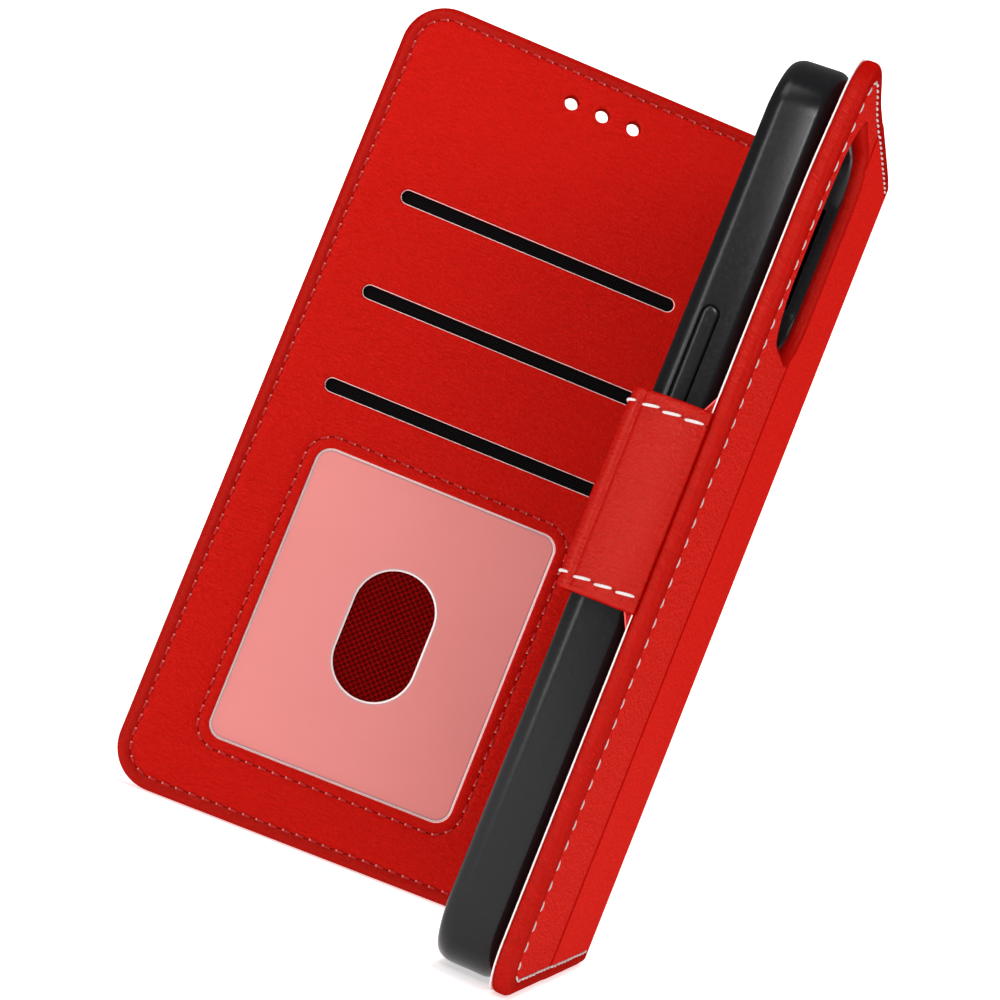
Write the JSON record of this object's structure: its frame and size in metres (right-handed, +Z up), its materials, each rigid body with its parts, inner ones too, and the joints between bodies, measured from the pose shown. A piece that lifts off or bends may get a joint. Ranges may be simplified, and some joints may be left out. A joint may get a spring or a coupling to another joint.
{
  "type": "phone wallet case",
  "caption": "Folio phone case: padded leather front cover with card slots and ID window, soft spine, back cover with moulded phone shell, and a magnetic strap.",
  "frame": {"origin": "below the middle of the outline, on the ground, with the case standing on the bottom edges of its covers, partly open", "axes": "+Z up along the long side of the covers, +Y the outer face of the back cover, +X the opening edge, -X the spine"},
  "size_m": [0.0868, 0.0982, 0.165],
  "materials": {
    "leather": "red polyurethane leather, fine pebble grain, satin",
    "leather_lining": "red polyurethane leather lining, smooth, matt",
    "greyboard": "pressed board, matt",
    "foam": "soft foam, matt",
    "pocket_fabric": "black ribbed pocket cloth",
    "red_cloth": "dark red woven backing cloth",
    "film": "frosted clear vinyl over red",
    "tpu": "soft black thermoplastic polyurethane, satin",
    "tape": "double-sided foam tape",
    "steel": "thin steel plate",
    "magnet": "flat nickel-plated magnet",
    "thread_red": "red sewing thread",
    "thread_white": "white sewing thread"
  },
  "bodies": {
    "back_cover": {"back_outer_leather": "leather", "back_board": "greyboard", "back_lining": "leather_lining", "back_edge_stitching": "thread_white", "shell_adhesive": "tape", "strap_anchor": "leather_lining", "tpu_shell": "tpu"},
    "spine": {"spine_outer_leather": "leather", "spine_board": "greyboard", "spine_lining": "leather_lining"},
    "front_cover": {"front_outer_leather": "leather", "front_board": "greyboard", "catch_plate": "steel", "card_pocket_1": "pocket_fabric", "card_pocket_2": "pocket_fabric", "card_pocket_3": "pocket_fabric", "id_pocket_backing": "red_cloth", "id_window_film": "film", "front_inner_panel": "leather", "front_edge_stitching": "thread_red", "window_stitching": "thread_red"},
    "strap": {"strap_outer_leather": "leather", "strap_padding": "foam", "strap_lining": "leather_lining", "strap_stitching_bottom": "thread_white", "strap_stitching_top": "thread_white"},
    "tab": {"tab_outer_leather": "leather", "tab_stiffener": "greyboard", "tab_magnet": "magnet", "tab_lining": "leather_lining"},
    "power_key": {"power_button": "tpu"},
    "volume_up_key": {"volume_up_button": "tpu"},
    "volume_down_key": {"volume_down_button": "tpu"}
  },
  "joints": [
    {"name": "spine_fold", "type": "hinge", "parent": "back_cover", "child": "spine", "pos_m": [-0.04174, 0.04731, 0.0825], "axis": [0, 0, -1], "range_deg": [0, 178]},
    {"name": "front_fold", "type": "hinge", "parent": "spine", "child": "front_cover", "pos_m": [-0.04174, 0.02881, 0.0825], "axis": [0, 0, -1], "range_deg": [-72.3, 107.7]},
    {"name": "strap_fold", "type": "hinge", "parent": "back_cover", "child": "strap", "pos_m": [0.04156, 0.04421, 0.0825], "axis": [0, 0, 1], "range_deg": [0, 90]},
    {"name": "tab_fold", "type": "hinge", "parent": "strap", "child": "tab", "pos_m": [0.04156, 0.03241, 0.0825], "axis": [0, 0, 1], "range_deg": [0, 90]},
    {"name": "power_press", "type": "slide", "parent": "back_cover", "child": "power_key", "axis": [-1, 0, 0], "range_m": [0, 0.00035], "stiffness_N_per_m": 2000},
    {"name": "volume_up_press", "type": "slide", "parent": "back_cover", "child": "volume_up_key", "axis": [1, 0, 0], "range_m": [0, 0.00035], "stiffness_N_per_m": 2000},
    {"name": "volume_down_press", "type": "slide", "parent": "back_cover", "child": "volume_down_key", "axis": [1, 0, 0], "range_m": [0, 0.00035], "stiffness_N_per_m": 2000}
  ]
}
